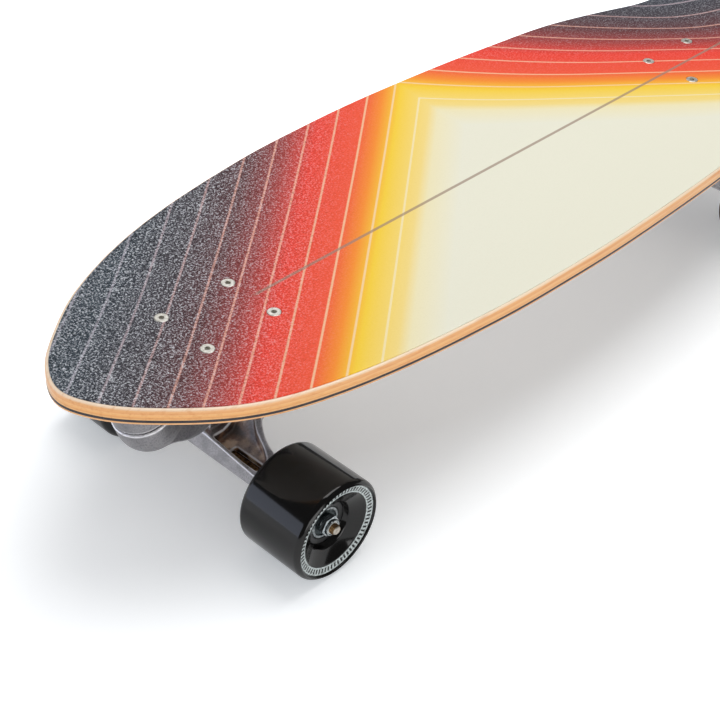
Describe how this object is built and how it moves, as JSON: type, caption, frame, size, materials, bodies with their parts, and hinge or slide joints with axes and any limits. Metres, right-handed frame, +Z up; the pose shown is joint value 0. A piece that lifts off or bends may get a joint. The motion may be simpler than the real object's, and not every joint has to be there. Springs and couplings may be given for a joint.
{
  "type": "surf skateboard",
  "caption": "Cruiser skateboard with a concave laminated deck and kick tail, a spring-centred swing-arm front truck that carves, a kingpin rear truck and wide smooth wheels.",
  "frame": {"origin": "on the floor under the middle of the board", "axes": "+X runs to the nose, +Y to the rider's left and +Z up"},
  "size_m": [0.82, 0.2448, 0.1693],
  "materials": {
    "grip": "printed sheet under clear grit, charcoal at both ends and through maroon, red, orange and yellow to cream in the middle",
    "maple": "clear satin lacquer on sanded maple ply",
    "dark_ply": "dyed charcoal ply, satin",
    "zinc": "bright zinc plated steel",
    "steel": "turned and ground steel",
    "bronzed_steel": "hardened steel with a bronze temper tint",
    "cast_metal": "tumbled raw aluminium casting with fine pits, smoother on the front faces",
    "wheel_urethane": "glossy near-black cast urethane with a pale printed tick ring on the outer face",
    "core_plastic": "moulded black nylon",
    "bushing_urethane": "cast urethane, satin",
    "cup_plastic": "moulded black urethane",
    "riser_plastic": "moulded black plastic"
  },
  "bodies": {
    "board": {"grip_sheet": "grip", "deck_upper_plies": "maple", "deck_dark_ply": "dark_ply", "deck_bottom_ply": "maple", "front_deck_screw_1": "zinc", "front_deck_screw_2": "zinc", "front_deck_screw_3": "zinc", "front_deck_screw_4": "zinc", "rear_deck_screw_1": "zinc", "rear_deck_screw_2": "zinc", "rear_deck_screw_3": "zinc", "rear_deck_screw_4": "zinc", "front_base_plate": "cast_metal", "front_pivot_bolt": "steel", "front_pivot_nut": "zinc", "rear_base_plate": "cast_metal", "rear_riser_pad": "riser_plastic", "rear_pivot_cup": "cup_plastic", "rear_kingpin": "steel", "rear_kingpin_nut": "zinc", "rear_upper_bushing": "bushing_urethane", "rear_lower_bushing": "bushing_urethane", "rear_upper_washer": "zinc", "rear_lower_washer": "zinc"},
    "front_arm": {"front_swing_arm": "cast_metal", "front_return_spring": "steel", "front_thrust_bearing": "steel", "front_pivot_cup": "cup_plastic", "front_kingpin": "steel", "front_kingpin_nut": "zinc", "front_upper_bushing": "bushing_urethane", "front_lower_bushing": "bushing_urethane", "front_upper_washer": "zinc", "front_lower_washer": "zinc"},
    "front_hanger_body": {"front_hanger": "cast_metal", "front_axle": "bronzed_steel", "front_left_axle_nut": "zinc", "front_right_axle_nut": "zinc"},
    "rear_hanger_body": {"rear_hanger": "cast_metal", "rear_axle": "bronzed_steel", "rear_left_axle_nut": "zinc", "rear_right_axle_nut": "zinc"},
    "front_left_wheel": {"front_left_wheel_tyre": "wheel_urethane", "front_left_wheel_core": "core_plastic", "front_left_wheel_outer_bearing": "steel", "front_left_wheel_inner_bearing": "steel"},
    "front_right_wheel": {"front_right_wheel_tyre": "wheel_urethane", "front_right_wheel_core": "core_plastic", "front_right_wheel_outer_bearing": "steel", "front_right_wheel_inner_bearing": "steel"},
    "rear_left_wheel": {"rear_left_wheel_tyre": "wheel_urethane", "rear_left_wheel_core": "core_plastic", "rear_left_wheel_outer_bearing": "steel", "rear_left_wheel_inner_bearing": "steel"},
    "rear_right_wheel": {"rear_right_wheel_tyre": "wheel_urethane", "rear_right_wheel_core": "core_plastic", "rear_right_wheel_outer_bearing": "steel", "rear_right_wheel_inner_bearing": "steel"}
  },
  "joints": [
    {"name": "front_arm_swing", "type": "hinge", "parent": "board", "child": "front_arm", "pos_m": [0.3508, 0, 0.0904], "axis": [0.342, 0, 0.9397], "range_deg": [-22, 22], "stiffness_Nm_per_rad": 9},
    {"name": "front_hanger_tilt", "type": "hinge", "parent": "front_arm", "child": "front_hanger_body", "pos_m": [0.2648, 0, 0.053], "axis": [0.9205, 0, 0.3907], "range_deg": [-12, 12], "stiffness_Nm_per_rad": 40, "deforming": ["front_upper_bushing", "front_lower_bushing"]},
    {"name": "rear_hanger_tilt", "type": "hinge", "parent": "board", "child": "rear_hanger_body", "pos_m": [-0.1956, 0, 0.053], "axis": [-0.9205, 0, 0.3907], "range_deg": [-12, 12], "stiffness_Nm_per_rad": 40, "deforming": ["rear_upper_bushing", "rear_lower_bushing"]},
    {"name": "front_left_wheel_spin", "type": "hinge", "parent": "front_hanger_body", "child": "front_left_wheel", "pos_m": [0.2988, 0.09, 0.035], "axis": [0, 1, 0], "continuous": true},
    {"name": "front_right_wheel_spin", "type": "hinge", "parent": "front_hanger_body", "child": "front_right_wheel", "pos_m": [0.2988, -0.09, 0.035], "axis": [0, 1, 0], "continuous": true},
    {"name": "rear_left_wheel_spin", "type": "hinge", "parent": "rear_hanger_body", "child": "rear_left_wheel", "pos_m": [-0.23, 0.09, 0.035], "axis": [0, 1, 0], "continuous": true},
    {"name": "rear_right_wheel_spin", "type": "hinge", "parent": "rear_hanger_body", "child": "rear_right_wheel", "pos_m": [-0.23, -0.09, 0.035], "axis": [0, 1, 0], "continuous": true}
  ]
}
